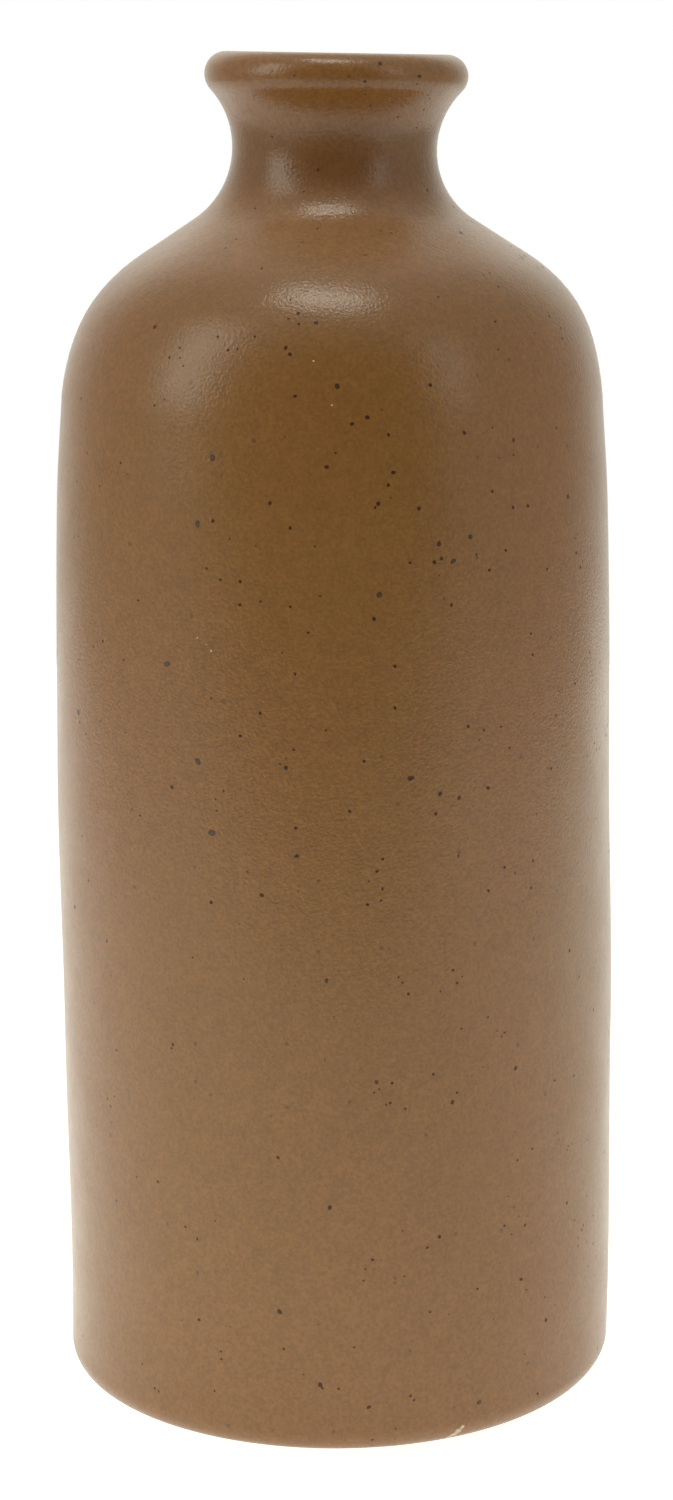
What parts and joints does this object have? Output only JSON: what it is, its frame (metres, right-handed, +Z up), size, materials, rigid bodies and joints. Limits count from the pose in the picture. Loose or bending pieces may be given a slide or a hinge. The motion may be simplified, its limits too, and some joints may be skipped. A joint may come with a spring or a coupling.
{
  "type": "bud vase",
  "caption": "Bottle-shaped stoneware bud vase with a straight body, domed shoulder, short waisted neck and rolled lip, in speckled brown glaze.",
  "frame": {"origin": "centre of the foot ring's resting face, on the table", "axes": "+Z up along the vase's axis, the front as seen in the reference faces -Y, +X to the right of the front"},
  "size_m": [0.1002, 0.1002, 0.24],
  "materials": {
    "fired_clay": "matte",
    "speckled_glaze": "satin",
    "inside_glaze": "satin"
  },
  "bodies": {
    "root": {"stoneware_body": "fired_clay", "outer_glaze": "speckled_glaze", "liner_glaze": "inside_glaze", "base_glaze": "speckled_glaze"}
  },
  "joints": []
}
